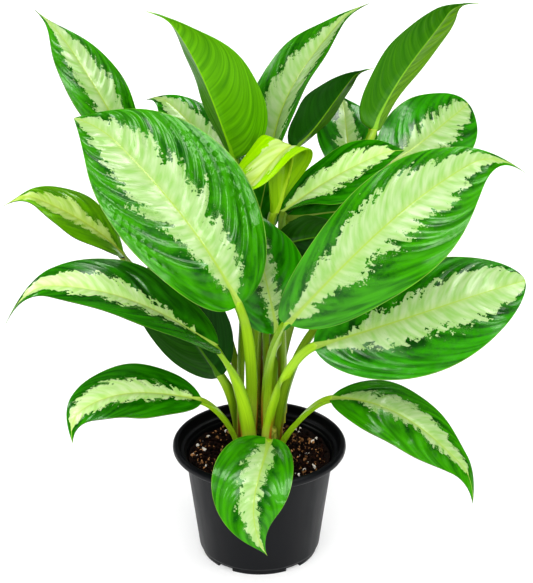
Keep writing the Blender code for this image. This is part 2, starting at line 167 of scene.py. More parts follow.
@dataclass
class Leaf:
    """One leaf in millimetres and degrees. Its form is the frame's, and its looks are the last values."""
    name: str
    cane: str
    foot: tuple                     # height of its foot on the cane, and its bearing there
    base: tuple                     # where the petiole meets the blade
    tip: tuple
    width: float
    face: tuple                     # bearing and rise of the upper face at mid-blade
    near: tuple = (12, 0)           # the midrib off its chord, up and to the right, a third along
    far: tuple = (12, 0)            # and two thirds along
    fold: float = 10.0              # how far each half is raised from the midrib
    droop: float = 4.0              # how far the margins fall back
    hook: float = 0.0               # how far the tip turns down
    curl: float = 0.0               # and to the right
    uneven: float = 0.0             # share by which the right half is wider and the left narrower
    belly: float = 0.45             # where along its length the blade is widest
    round_: float = 0.55            # how bluntly the base is rounded, less being blunter
    point: float = 1.2              # how finely the tip is drawn out
    lobe: float = 2.0               # how far the margins reach back past the base
    sheath: float = 4.2             # half the width of the petiole at its foot
    rise: float = 30.0              # how far the petiole goes straight up from its foot
    reach: float = 30.0             # how far before the blade it takes the blade's direction
    flare: float = 0.03             # how far it leans out as it does, for each mm it rises
    wave: float = 1.0               # height of the ripples along the margins
    cream: tuple = (0.2, 0.4, 0.4)  # half width of the cream splash at the base, mid-blade and tip
    cream_right: tuple = ()         # and on the right, where that differs
    ends: float = 0.94              # where along the blade the splash ends
    pleat: float = 1.1              # height of the ripples between the side veins
    upper: str = "deep"             # which of the leaf faces it has
    under: str = "shaded"           # and which of the leaf backs
    stalk: str = "shaded"           # which of the petiole skins


# The plant's leaves
LEAVES = (
    Leaf("leaf_front_hanging", "cane_front_right", (107, -20), (9, -44, 141), (8, -108, 54), 76, (0, 46),
         near=(25, 5), far=(30, 20), fold=9, uneven=0.15, belly=0.37, round_=0.58, point=1.3, lobe=6,
         rise=14, reach=14, cream=(0.4, 0.2, 0.3), cream_right=(0.3, 0.36, 0.55), pleat=1.0,
         upper="sheen", stalk="bright"),
    Leaf("leaf_front_left_low", "cane_front_left", (107, -75), (-57, -30, 180), (-188, -78, 169), 84,
         (-23, 78), near=(14, 7), far=(20, 20), fold=7, hook=7, curl=-16, uneven=0.05, belly=0.43,
         round_=0.65, rise=20, reach=22, cream=(0.15, 0.34, 0.6), cream_right=(0.2, 0.46, 0.6), ends=0.9,
         upper="pale", stalk="bright"),
    Leaf("leaf_front_right_low", "cane_front_right", (107, 58), (69, -35, 184), (213, -95, 118), 79,
         (47, 59), near=(30, -7), far=(10, -6), fold=3, hook=11, curl=14, belly=0.37, round_=0.88,
         point=1.1, lobe=1, rise=20, reach=22, cream=(0.2, 0.5, 0.35), cream_right=(0.1, 0.22, 0.3),
         ends=0.85, upper="fresh", stalk="bright"),
    Leaf("leaf_left_lower", "cane_front_left", (116, 20), (-41, -50, 247), (-234, -85, 318), 93, (61, 70),
         near=(24, -4), far=(36, -3), fold=15, hook=25, curl=-15, uneven=-0.04, belly=0.42, round_=0.5,
         point=1.4, lobe=5, sheath=8, cream=(0.0, 0.34, 0.5), cream_right=(-0.15, 0.4, 0.66), ends=0.9,
         upper="pale", stalk="bright"),
    Leaf("leaf_right_lower", "cane_front_right", (125, -48), (54, -50, 247), (246, -45, 312), 105,
         (-14, 28), near=(8, 3), far=(11, 0), fold=6, hook=6, uneven=0.08, belly=0.48, round_=0.58,
         point=0.6, lobe=3, sheath=5.6, rise=25, cream=(0.0, 0.4, 0.8), cream_right=(0.35, 0.42, 0.6),
         ends=1.05, stalk="bright"),
    Leaf("leaf_left_big", "cane_front_left", (120, 150), (-19, -90, 310), (-159, -20, 469), 131, (20, 34),
         near=(26, 4), far=(9, 5), fold=11, hook=7, curl=-9, uneven=-0.07, belly=0.47, round_=0.48,
         point=0.9, lobe=3, sheath=6.5, rise=80, reach=20, flare=0.13, cream=(0.12, 0.42, 0.62),
         cream_right=(0.4, 0.38, 0.5), ends=1.05, pleat=4.2, upper="sheen", stalk="bright"),
    Leaf("leaf_right_big", "cane_front_right", (122, -141), (27, -95, 292), (237, -52, 452), 100,
         (31, 32), near=(52, -18), far=(19, -26), fold=11, hook=22, curl=33, uneven=0.14, belly=0.49,
         round_=0.43, point=2.2, lobe=2, sheath=6, rise=80, reach=20, flare=0.09, cream=(0.35, 0.64, 0.5),
         cream_right=(0.25, 0.36, 0.5), ends=0.92, pleat=1.3, upper="fresh", stalk="bright"),
    Leaf("leaf_right_inner", "cane_front_right", (112, 130), (60, -8, 253), (150, 26, 300), 66, (-20, 60),
         near=(10, 0), far=(10, 0), sheath=5, rise=40, reach=45),
    Leaf("leaf_centre_shaded", "cane_back_right", (124, -30), (17, -46, 260), (-9, -32, 380), 76, (5, 12),
         near=(6, 0), far=(6, 0), fold=8, rise=90, reach=20, cream=(0.1, 0.25, 0.3)),
    Leaf("leaf_left_middle", "cane_back_left", (128, -13), (-128, 15, 310), (-227, -10, 386), 71,
         (64, 62), near=(13, -1), far=(-5, 20), fold=12, hook=19, curl=-3, belly=0.47, round_=0.75,
         point=2.1, lobe=0, sheath=4.6, rise=40, reach=40, cream=(0.2, 0.4, 0.7), upper="olive"),
    Leaf("leaf_left_inner", "cane_back_left", (108, -98), (-38, -5, 194), (-103, 0, 312), 88, (165, 5),
         near=(8, 8), far=(8, 8), rise=20, reach=20),
    Leaf("leaf_top_left", "cane_back_left", (130, 207), (-107, 20, 396), (-205, 80, 531), 69, (48, 43),
         near=(11, -9), far=(17, -5), fold=6, hook=-2, curl=-6, uneven=-0.05, belly=0.49, round_=0.63,
         point=1.9, rise=100, reach=50, cream=(0.35, 0.44, 0.5), cream_right=(0.6, 0.55, 0.7), ends=0.97,
         upper="fresh"),
    Leaf("leaf_top_centre_left", "cane_back_left", (134, 134), (-23, 31, 404), (-93, 10, 558), 102,
         (149, 40), near=(-2, -11), far=(14, -3), fold=33, hook=9, curl=5, uneven=0.06, belly=0.37,
         round_=0.62, point=2.0, rise=100, reach=20, flare=0.0, under="sunlit"),
    Leaf("leaf_back_left", "cane_back_middle", (126, -97), (-19, 45, 379), (-107, 110, 441), 61, (12, 59),
         near=(6, -5), far=(13, 4), hook=7, curl=-5, belly=0.41, round_=0.58, point=1.4, rise=100,
         reach=15, cream=(0.55, 0.5, 0.6)),
    Leaf("leaf_top_centre", "cane_back_middle", (140, -25), (12, 38, 406), (96, 103, 537), 74, (-56, 52),
         near=(17, -10), far=(7, -3), fold=26, hook=9, curl=4, belly=0.37, round_=0.63, point=1.7,
         rise=100, reach=25, cream=(0.75, 0.5, 0.4), cream_right=(0.6, 0.7, 0.75), upper="fresh"),
    Leaf("leaf_back_centre_right", "cane_back_middle", (134, 52), (32, 60, 402), (101, 78, 481), 60,
         (-144, 26), near=(-1, -6), far=(6, -3), fold=22, hook=6, curl=-8, uneven=0.05, belly=0.41,
         round_=0.58, point=2.0, rise=100, reach=50, under="dim"),
    Leaf("leaf_middle_right", "cane_back_right", (128, 45), (23, 6, 359), (132, 16, 421), 75, (-55, 46),
         near=(-17, -27), far=(-1, -6), fold=14, hook=4, curl=4, uneven=0.2, belly=0.5, round_=0.6,
         point=1.0, rise=100, reach=15, cream=(0.5, 0.52, 0.44), cream_right=(0.4, 0.42, 0.44), ends=0.9,
         upper="pale"),
    Leaf("leaf_middle_right_dark", "cane_back_right", (134, 119), (29, 20, 346), (133, 26, 355), 44,
         (0, 35), near=(8, 0), far=(8, 0), rise=90, reach=20, cream=(-0.5, -0.5, -0.5)),
    Leaf("leaf_middle_right_under", "cane_back_left", (128, 64), (18, -26, 339), (84, -28, 350), 48,
         (175, 12), near=(5, 0), far=(5, 0), rise=90, reach=20),
    Leaf("leaf_young", "cane_back_right", (136, -95), (14, -15, 368), (-15, -49, 401), 63, (147, 62),
         near=(98, -16), far=(4, 2), fold=12, uneven=0.25, belly=0.52, round_=0.52, point=1.0, lobe=3,
         rise=90, reach=20, flare=0.05, cream=(0.2, 0.5, 0.3), upper="young", under="young",
         stalk="bright"),
    Leaf("leaf_back_centre", "cane_front_left", (118, 236), (-6, 22, 322), (10, 30, 398), 41, (8, 22),
         near=(4, 0), far=(4, 0), fold=6, sheath=3.4, rise=90, reach=30, cream=(-0.5, -0.5, -0.5)),
    Leaf("leaf_back_right_upright", "cane_back_middle", (122, 191), (88, 82, 364), (81, 165, 418), 60,
         (5, 61), near=(10, 0), far=(10, 0), rise=110, reach=40, flare=0.06, cream=(0.35, 0.32, 0.35)),
    Leaf("leaf_top_right", "cane_back_right", (122, 192), (107, 50, 424), (183, 40, 561), 56, (-180, 42),
         near=(22, -2), far=(28, -26), fold=25, hook=12, curl=-16, uneven=-0.03, belly=0.38, round_=0.46,
         point=1.4, lobe=1, rise=120, reach=40, flare=0.07, under="middle"),
    Leaf("leaf_right_round", "cane_back_middle", (118, 122), (112, 60, 381), (211, 170, 407), 85,
         (29, 49), near=(6, 9), far=(5, -1), fold=7, hook=2, curl=-3, belly=0.48, round_=0.57, point=0.6,
         rise=90, reach=40, flare=0.1, cream=(0.2, 0.3, 0.5), cream_right=(0.4, 0.42, 0.6), ends=0.96,
         pleat=0.7),
)


def linear(code):
    """Linear colour of an sRGB hex code."""
    parts = [int(code[at:at + 2], 16) / 255 for at in (1, 3, 5)]
    return (*(p / 12.92 if p <= 0.04045 else ((p + 0.055) / 1.055) ** 2.4 for p in parts), 1.0)


def add(tree, kind, inputs=None, **settings):
    """Outputs of a new node with its settings, and its inputs set to values or linked to others."""
    made = tree.nodes.new(kind)
    for name, value in settings.items():
        setattr(made, name, value)
    for name, value in (inputs or {}).items():
        if isinstance(value, bpy.types.NodeSocket):
            tree.links.new(value, made.inputs[name])
        else:
            made.inputs[name].default_value = value
    return made.outputs


def new_finish(name):
    """A new material, its nodes, and the inputs of its Principled shader, which the caller fills."""
    made = bpy.data.materials.new(name)
    made.use_nodes = True
    return made, made.node_tree, made.node_tree.nodes["Principled BSDF"].inputs


def place_piece(name, bm, finishes, node, sharp_angle):
    """Turn a mesh into a piece that stands for a node of the frame, or for none where it is extra."""
    bmesh.ops.recalc_face_normals(bm, faces=bm.faces)
    mesh = bpy.data.meshes.new(name)
    bm.to_mesh(mesh)
    bm.free()
    mesh.shade_smooth()
    mesh.set_sharp_from_angle(angle=math.radians(sharp_angle))
    piece = bpy.data.objects.new(name, mesh)
    bpy.context.scene.collection.objects.link(piece)
    for finish in finishes:
        mesh.materials.append(finish)
    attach(piece, "root")
    if node:
        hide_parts(node)
    return piece


# Finishes of the leaves
def leaf_grain(tree, place, along, outward, detail):
    """Noise whose grain is so many mm along the leaf, and so many outward from its midrib."""
    grain = add(tree, "ShaderNodeVectorMath", {0: place, 1: (1 / along, 1 / outward, 1.0)},
                operation="MULTIPLY")[0]
    return add(tree, "ShaderNodeTexNoise", {"Vector": grain, "Scale": 1.0, "Detail": detail})[0]


def splash_edge(tree):
    """How far a point is inside the cream splash, and the noise that tears the splash's edge.

    The edge steps by lot from one small side vein to the next, and three grains of noise fray it.
    """
    vein = add(tree, "ShaderNodeAttribute", attribute_name="vein")["Vector"]
    _, outward, own = add(tree, "ShaderNodeSeparateXYZ", {0: vein})
    blade = add(tree, "ShaderNodeAttribute", attribute_name="blade")["Vector"]
    along, _, inside = add(tree, "ShaderNodeSeparateXYZ", {0: blade})
    ribs = add(tree, "ShaderNodeAttribute", attribute_name="ribs")["Vector"]
    count = add(tree, "ShaderNodeSeparateXYZ", {0: ribs})["Y"]
    small_count = add(tree, "ShaderNodeMath", {0: count, 1: FACE_VEINS}, operation="MULTIPLY")[0]
    strip = add(tree, "ShaderNodeCombineXYZ", {
        "X": add(tree, "ShaderNodeMath", {0: small_count}, operation="FLOOR")[0],
        "Y": add(tree, "ShaderNodeMath", {0: outward}, operation="SIGN")[0],
        "Z": own})[0]
    lot = add(tree, "ShaderNodeTexWhiteNoise", {"Vector": strip})[0]
    broad = leaf_grain(tree, vein, 18, 30, 1.0)
    flat = add(tree, "ShaderNodeCombineXYZ", {"X": along, "Y": outward, "Z": own})[0]
    torn = leaf_grain(tree, flat, 4.5, 4.5, 2.0)
    fine = leaf_grain(tree, flat, 1.6, 1.6, 1.0)
    edge = inside
    for grain, share in ((lot, 0.2), (broad, 0.36), (torn, 0.5), (fine, 0.2)):
        centred = add(tree, "ShaderNodeMath", {0: grain, 1: 0.5}, operation="SUBTRACT")[0]
        edge = add(tree, "ShaderNodeMath", {0: centred, 1: share, 2: edge},
                   operation="MULTIPLY_ADD")[0]
    return edge, torn


def leaf_face(name, deep, bright, cream, pale, rib):
    """Upper face of a leaf: waxy and smooth, in two greens, with a cream splash along the midrib.

    The wax gives it soft glints, and the side veins lie a little sunk between fuller strips.
    """
    made, tree, shader = new_finish(name)
    vein = add(tree, "ShaderNodeAttribute", attribute_name="vein")["Vector"]
    blade = add(tree, "ShaderNodeAttribute", attribute_name="blade")["Vector"]
    spread = add(tree, "ShaderNodeSeparateXYZ", {0: blade})["Y"]
    ribs = add(tree, "ShaderNodeAttribute", attribute_name="ribs")["Vector"]
    from_rib, count, _ = add(tree, "ShaderNodeSeparateXYZ", {0: ribs})
    edge, torn = splash_edge(tree)
    mottle = leaf_grain(tree, vein, 13, 15, 1.5)
    by_edge = add(tree, "ShaderNodeMapRange",
                  {"Value": edge, "From Min": -0.3, "From Max": 0.0, "To Max": 0.5})[0]
    depth = add(tree, "ShaderNodeMapRange",
                {"Value": mottle, "From Min": 0.38, "From Max": 0.68, "To Max": 0.7})[0]
    depth = add(tree, "ShaderNodeMath", {0: depth, 1: by_edge}, operation="ADD", use_clamp=True)[0]
    colour = add(tree, "ShaderNodeMix",
                 {FACTOR: depth, COLOUR_A: linear(bright), COLOUR_B: linear(deep)},
                 data_type="RGBA")[MIXED]
    wash = leaf_grain(tree, vein, 5, 16, 1.5)
    wash = add(tree, "ShaderNodeMapRange", {"Value": wash, "From Min": 0.34, "From Max": 0.68})[0]
    light = add(tree, "ShaderNodeMix",
                {FACTOR: wash, COLOUR_A: linear(cream), COLOUR_B: linear(pale)},
                data_type="RGBA")[MIXED]
    near_rib = add(tree, "ShaderNodeMapRange",
                   {"Value": from_rib, "From Max": 6.0, "To Min": 0.35, "To Max": 0.0})[0]
    light = add(tree, "ShaderNodeMix", {FACTOR: near_rib, COLOUR_A: light, COLOUR_B: linear(rib)},
                data_type="RGBA")[MIXED]
    splash = add(tree, "ShaderNodeMapRange", {"Value": edge, "From Min": -0.015, "From Max": 0.015},
                 interpolation_type="SMOOTHSTEP")[0]
    on_rib = add(tree, "ShaderNodeMapRange",
                 {"Value": from_rib, "From Min": -0.25, "From Max": 0.35, "To Min": 0.9, "To Max": 0.0},
                 interpolation_type="SMOOTHSTEP")[0]
    # Painted highlight: a thin line in the midrib's pale colour along the margin stands for the glint
    # along the leaf's edge
    on_margin = add(tree, "ShaderNodeMapRange",
                    {"Value": spread, "From Min": 0.98, "From Max": 0.995, "To Max": 0.4})[0]
    for share, tint in ((splash, light), (on_rib, linear(rib)), (on_margin, linear(rib))):
        colour = add(tree, "ShaderNodeMix", {FACTOR: share, COLOUR_A: colour, COLOUR_B: tint},
                     data_type="RGBA")[MIXED]
    tree.links.new(colour, shader["Base Color"])
    gloss = add(tree, "ShaderNodeMapRange",
                {"Value": torn, "From Min": 0.3, "From Max": 0.7, "To Min": 0.12, "To Max": 0.25})[0]
    tree.links.new(gloss, shader["Roughness"])
    small_count = add(tree, "ShaderNodeMath", {0: count, 1: FACE_VEINS}, operation="MULTIPLY")[0]
    from_vein = add(tree, "ShaderNodeMath", {0: small_count, 1: 0.5}, operation="PINGPONG")[0]
    fuller = add(tree, "ShaderNodeMapRange", {"Value": from_vein, "From Max": 0.16},
                 interpolation_type="SMOOTHSTEP")[0]
    relief = add(tree, "ShaderNodeMath", {0: mottle, 1: 6.0, 2: fuller}, operation="MULTIPLY_ADD")[0]
    bump = add(tree, "ShaderNodeBump", {"Strength": 0.4, "Distance": 0.06 * MM, "Height": relief})[0]
    tree.links.new(bump, shader["Normal"])
    shader["IOR"].default_value = LEAF_IOR
    shader["Specular IOR Level"].default_value = 0.3
    return made


def leaf_back(name, left_green, right_green, vein_colour, rib):
    """Underside of a leaf: dull and plain, with darker side veins and a green for each half, one half
    painted lighter as if lit and the other darker as painted shade.

    Left and right are as seen from above, so they change places when the back is looked at.
    """
    made, tree, shader = new_finish(name)
    vein = add(tree, "ShaderNodeAttribute", attribute_name="vein")["Vector"]
    outward = add(tree, "ShaderNodeSeparateXYZ", {0: vein})["Y"]
    ribs = add(tree, "ShaderNodeAttribute", attribute_name="ribs")["Vector"]
    from_rib, count, _ = add(tree, "ShaderNodeSeparateXYZ", {0: ribs})
    small_count = add(tree, "ShaderNodeMath", {0: count, 1: BACK_VEINS}, operation="MULTIPLY")[0]
    from_vein = add(tree, "ShaderNodeMath", {0: small_count, 1: 0.5}, operation="PINGPONG")[0]
    line = add(tree, "ShaderNodeMapRange",
               {"Value": from_vein, "From Max": 0.22, "To Min": 0.6, "To Max": 0.0},
               interpolation_type="SMOOTHSTEP")[0]
    mottle = leaf_grain(tree, vein, 6, 50, 3.0)
    shade = add(tree, "ShaderNodeMapRange",
                {"Value": mottle, "From Min": 0.35, "From Max": 0.7, "To Max": 0.75})[0]
    shade = add(tree, "ShaderNodeMath", {0: shade, 1: line}, operation="MAXIMUM")[0]
    # Painted light and shade: each half takes its own green, one painted as lit and the other as lying in
    # shade.
    on_right = add(tree, "ShaderNodeMapRange",
                   {"Value": outward, "From Min": -0.5, "From Max": 0.5})[0]
    on_rib = add(tree, "ShaderNodeMapRange",
                 {"Value": from_rib, "From Min": -0.1, "From Max": 0.5, "To Min": 0.8, "To Max": 0.0},
                 interpolation_type="SMOOTHSTEP")[0]
    colour = linear(left_green)
    for share, tint in ((on_right, right_green), (shade, vein_colour), (on_rib, rib)):
        colour = add(tree, "ShaderNodeMix", {FACTOR: share, COLOUR_A: colour, COLOUR_B: linear(tint)},
                     data_type="RGBA")[MIXED]
    tree.links.new(colour, shader["Base Color"])
    shader["Roughness"].default_value = 0.4
    shader["IOR"].default_value = LEAF_IOR
    shader["Specular IOR Level"].default_value = 0.15
    bump = add(tree, "ShaderNodeBump", {"Strength": 0.5, "Distance": 0.4 * MM, "Height": mottle})[0]
    tree.links.new(bump, shader["Normal"])
    return made


def petiole_skin(name, middle, side, foot, edge):
    """Petiole: smooth and juicy, paler at its foot, with fine lengthwise streaks and a dry edge."""
    made, tree, shader = new_finish(name)
    vein = add(tree, "ShaderNodeAttribute", attribute_name="vein")["Vector"]
    blade = add(tree, "ShaderNodeAttribute", attribute_name="blade")["Vector"]
    climb, spread, _ = add(tree, "ShaderNodeSeparateXYZ", {0: blade})
    streak = leaf_grain(tree, vein, 45, 1.3, 3.0)
    to_side = add(tree, "ShaderNodeMapRange", {"Value": spread, "From Min": 0.45, "From Max": 0.95})[0]
    streaky = add(tree, "ShaderNodeMapRange",
                  {"Value": streak, "From Min": 0.4, "From Max": 0.75, "To Max": 0.7})[0]
    shade = add(tree, "ShaderNodeMath", {0: to_side, 1: streaky}, operation="MAXIMUM")[0]
    to_foot = add(tree, "ShaderNodeMapRange", {"Value": climb, "From Min": 0.02, "From Max": 0.22,
                                               "To Min": 0.7, "To Max": 0.0})[0]
    low = add(tree, "ShaderNodeMapRange", {"Value": climb, "From Min": 0.1, "From Max": 0.3,
                                           "To Min": 1.0, "To Max": 0.0})[0]
    on_edge = add(tree, "ShaderNodeMapRange", {"Value": spread, "From Min": 0.88, "From Max": 0.95})[0]
    dry = add(tree, "ShaderNodeMath", {0: low, 1: on_edge}, operation="MULTIPLY")[0]
    colour = linear(middle)
    for share, tint in ((shade, side), (to_foot, foot), (dry, edge)):
        colour = add(tree, "ShaderNodeMix", {FACTOR: share, COLOUR_A: colour, COLOUR_B: linear(tint)},
                     data_type="RGBA")[MIXED]
    tree.links.new(colour, shader["Base Color"])
    shader["Roughness"].default_value = 0.36
    shader["IOR"].default_value = PETIOLE_IOR
    bump = add(tree, "ShaderNodeBump", {"Strength": 0.5, "Distance": 0.25 * MM, "Height": streak})[0]
    tree.links.new(bump, shader["Normal"])
    return made


# Finishes of the pot, the soil and the canes
def moulded_polypropylene():
    """Injection-moulded polypropylene: near black with a cool, satin sheen and faint flow marks."""
    made, tree, shader = new_finish("moulded_black_polypropylene")
    place = add(tree, "ShaderNodeTexCoord")["Object"]
    flow = add(tree, "ShaderNodeVectorMath",
               {0: place, 1: (1 / FLOW_WIDTH, 1 / FLOW_WIDTH, 1 / FLOW_LENGTH)},
               operation="MULTIPLY")[0]
    flow = add(tree, "ShaderNodeTexNoise", {"Vector": flow, "Scale": 1.0, "Detail": 3.0})[0]
    grit = add(tree, "ShaderNodeTexNoise",
               {"Vector": place, "Scale": 1 / MOULD_GRIT, "Detail": 2.0})[0]
    colour = add(tree, "ShaderNodeMix",
                 {FACTOR: flow, COLOUR_A: linear("#08090C"), COLOUR_B: linear("#0E1014")},
                 data_type="RGBA")[MIXED]
    tree.links.new(colour, shader["Base Color"])
    gloss = add(tree, "ShaderNodeMapRange",
                {"Value": flow, "From Min": 0.3, "From Max": 0.7, "To Min": 0.38, "To Max": 0.5})[0]
    tree.links.new(gloss, shader["Roughness"])
    shader["IOR"].default_value = POLYPROPYLENE_IOR
    shader["Specular IOR Level"].default_value = 0.25
    bump = add(tree, "ShaderNodeBump", {"Strength": 0.35, "Distance": 0.1 * MM, "Height": grit})[0]
    tree.links.new(bump, shader["Normal"])
    return made


def earthy(name, dark, light, grain, rough=0.9):
    """Peat, bark, perlite or a cane's skin: matt and crumbly, in two tones with a grain in mm."""
    made, tree, shader = new_finish(name)
    place = add(tree, "ShaderNodeTexCoord")["Object"]
    crumbs = add(tree, "ShaderNodeTexNoise",
                 {"Vector": place, "Scale": 1 / (grain * MM), "Detail": 4.0})[0]
    tone = add(tree, "ShaderNodeMapRange", {"Value": crumbs, "From Min": 0.38, "From Max": 0.66})[0]
    colour = add(tree, "ShaderNodeMix",
                 {FACTOR: tone, COLOUR_A: linear(dark), COLOUR_B: linear(light)},
                 data_type="RGBA")[MIXED]
    tree.links.new(colour, shader["Base Color"])
    shader["Roughness"].default_value = rough
    shader["Specular IOR Level"].default_value = 0.15
    bump = add(tree, "ShaderNodeBump",
               {"Strength": 0.8, "Distance": 0.3 * grain * MM, "Height": crumbs})[0]
    tree.links.new(bump, shader["Normal"])
    return made


# Forms of the pot, the soil and the canes
def rounded(outline, radius, steps=4):
    """The outline with each inner corner turned into a short curve of about that radius."""
    made = [Vector(outline[0])]
    for before, corner, after in zip(outline, outline[1:], outline[2:]):
        corner, before, after = Vector(corner), Vector(before), Vector(after)
        start = corner + (before - corner) * min(radius / max((before - corner).length, 1e-9), 0.45)
        end = corner + (after - corner) * min(radius / max((after - corner).length, 1e-9), 0.45)
        for number in range(steps + 1):
            share = number / steps
            made.append(start * (1 - share) ** 2 + corner * 2 * share * (1 - share) + end * share ** 2)
    return made + [Vector(outline[-1])]


def turned(profile, steps):
    """A solid turned round Z from (radius, height) points."""
    bm = bmesh.new()
    points = [bm.verts.new((point[0], 0.0, point[1])) for point in profile]
    edges = [bm.edges.new(pair) for pair in zip(points, points[1:])]
    bmesh.ops.spin(bm, geom=points + edges, cent=(0, 0, 0), axis=(0, 0, 1), angle=math.tau,
                   steps=steps, use_merge=True)
    bmesh.ops.remove_doubles(bm, verts=bm.verts, dist=MERGE)
    return bm


def cut_away(piece, cutter_mesh, sharp_angle):
    """Take the cutter out of the piece for good."""
    mesh = bpy.data.meshes.new("cutter")
    bmesh.ops.recalc_face_normals(cutter_mesh, faces=cutter_mesh.faces)
    cutter_mesh.to_mesh(mesh)
    cutter_mesh.free()
    cutter = bpy.data.objects.new("cutter", mesh)
    bpy.context.scene.collection.objects.link(cutter)
    cutter.hide_render = True
    cut = piece.modifiers.new("cut", "BOOLEAN")
    cut.operation = "DIFFERENCE"
    cut.object = cutter
    bpy.context.view_layer.update()
    evaluated = piece.evaluated_get(bpy.context.evaluated_depsgraph_get())
    finished = bpy.data.meshes.new_from_object(evaluated)
    piece.modifiers.clear()
    piece.data = finished
    bpy.data.objects.remove(cutter, do_unlink=True)
    finished.shade_smooth()
    finished.set_sharp_from_angle(angle=math.radians(sharp_angle))


def wall_radius(height):
    """Outer radius of the pot's tapering body."""
    share = (height - FOOT_HEIGHT) / (POT_HEIGHT - RIM_DEPTH - FOOT_HEIGHT)
    return BODY_FOOT_RADIUS + (BODY_TOP_RADIUS - BODY_FOOT_RADIUS) * share


def pot_inside():
    """Outline of the pot's inside as (radius, height), from the rim down to the middle."""
    shoulder = POT_HEIGHT - RIM_DEPTH
    floor = CHANNEL_HEIGHT + WALL
    return [
        (RIM_INNER, POT_HEIGHT - 1.2 * MM),
        (RIM_INNER - 1.5 * MM, shoulder + 1.0 * MM),
        (wall_radius(shoulder) - WALL, shoulder - 5 * MM),
        (wall_radius(floor + 3 * MM) - WALL, floor + 3 * MM),
        (wall_radius(floor) - WALL - 3 * MM, floor),
        (CHANNEL_RADIUS + 1 * MM, floor),
        (CHANNEL_RADIUS - 1.5 * MM, WALL),
        (0.0, WALL),
    ]


def pot_outside():
    """Outline of the pot's outside, from the middle of the underside up to the rim."""
    shoulder = POT_HEIGHT - RIM_DEPTH
    return [
        (0.0, 0.0),
        (CHANNEL_RADIUS, 0.0),
        (CHANNEL_RADIUS + 2 * MM, CHANNEL_HEIGHT),
        (FOOT_RADIUS - FOOT_WIDTH - 1 * MM, CHANNEL_HEIGHT),
        (FOOT_RADIUS - FOOT_WIDTH, 0.0),
        (FOOT_RADIUS, 0.0),
        (FOOT_RADIUS + 0.6 * MM, FOOT_HEIGHT - 1 * MM),
        (BODY_FOOT_RADIUS - 0.8 * MM, FOOT_HEIGHT),
        (BODY_FOOT_RADIUS + 0.3 * MM, FOOT_HEIGHT + 1.5 * MM),
        (wall_radius(shoulder - 2 * MM), shoulder - 2 * MM),
        (wall_radius(shoulder) + 0.6 * MM, shoulder),
        (RIM_RADIUS - 2.5 * MM, shoulder + 0.4 * MM),
        (RIM_RADIUS - 0.6 * MM, shoulder + 1.8 * MM),
        (RIM_RADIUS, shoulder + 4 * MM),
        (RIM_RADIUS - 0.5 * MM, POT_HEIGHT - 2.4 * MM),
        (RIM_RADIUS - 2.2 * MM, POT_HEIGHT - 0.6 * MM),
        (RIM_INNER + 1.4 * MM, POT_HEIGHT),
    ]


def make_pot():
    """The turned shell, then the notches in its foot and the holes in its floor."""
    outline = rounded(pot_outside() + pot_inside(), CORNER)
    pot = place_piece("pot_shell", turned(outline, POT_STEPS), [moulded_polypropylene()], "pot",
                      POT_SHARP)
    cutters = bmesh.new()
    for number in range(NOTCHES):
        bearing = math.tau * (number + 0.5) / NOTCHES
        place = Matrix.Rotation(bearing, 4, "Z") @ Matrix.Translation((0, -FOOT_RADIUS, 0))
        size = Matrix.Diagonal((NOTCH_WIDTH, 2 * FOOT_WIDTH + 6 * MM, 2 * CHANNEL_HEIGHT - 0.4 * MM, 1))
        bmesh.ops.create_cube(cutters, size=1.0, matrix=place @ size)
    for number in range(DRAIN_HOLES):
        bearing = math.tau * number / DRAIN_HOLES
        place = Matrix.Rotation(bearing, 4, "Z") @ Matrix.Translation((0, -DRAIN_RING, CHANNEL_HEIGHT))
        bmesh.ops.create_cone(cutters, cap_ends=True, segments=24, radius1=DRAIN_RADIUS,
                              radius2=DRAIN_RADIUS, depth=4 * WALL, matrix=place)
    cut_away(pot, cutters, POT_SHARP)


def soil_height(x, y):
    """Top of the soil: the frame's low lumps, with crumbs on them."""
    lumps = noise.noise(Vector((x / SOIL_GRAIN, y / SOIL_GRAIN, 0.5)))
    small = noise.noise(Vector((2.3 * x / SOIL_GRAIN, 2.3 * y / SOIL_GRAIN, 4.5)))
    crumbs = noise.fractal(Vector((x / CRUMB, y / CRUMB, 9.5)), 0.6, 2.2, 3)
    return SOIL_LEVEL + SOIL_RELIEF * (lumps + 0.5 * small) + CRUMB_RELIEF * (crumbs - 0.4)


def make_soil():
    """The soil's body, then the loose crumbs, bark and perlite on it."""
    inside = [(max(radius - GAP, 0.0), height + GAP) for radius, height in pot_inside()[3:]]
    edge = wall_radius(SOIL_LEVEL) - WALL - 2 * GAP
    top = [(edge * ring / SOIL_RINGS, SOIL_LEVEL) for ring in range(SOIL_RINGS + 1)]
    bm = turned(top + inside, SOIL_STEPS)
    for vert in bm.verts:
        if vert.co.z > SOIL_LEVEL - 0.5 * MM:
            vert.co.z = soil_height(vert.co.x, vert.co.y)
    peat = earthy("damp_peat", "#080403", "#26140B", 2.6)
    place_piece("soil_body", bm, [peat], "soil", 80)
    scatter("soil_crumbs", earthy("peat_crumbs", "#060302", "#2C140A", 3.5), 1500, (0.9, 2.6), 0.7)
    scatter("bark_chips", earthy("pine_bark", "#2A1004", "#D8A06C", 4.0), 420, (0.8, 2.9), 0.45)
    scatter("perlite_grains", earthy("perlite", "#D8CCC0", "#FFFDF8", 0.9), 70, (1.2, 3.0), 0.85)


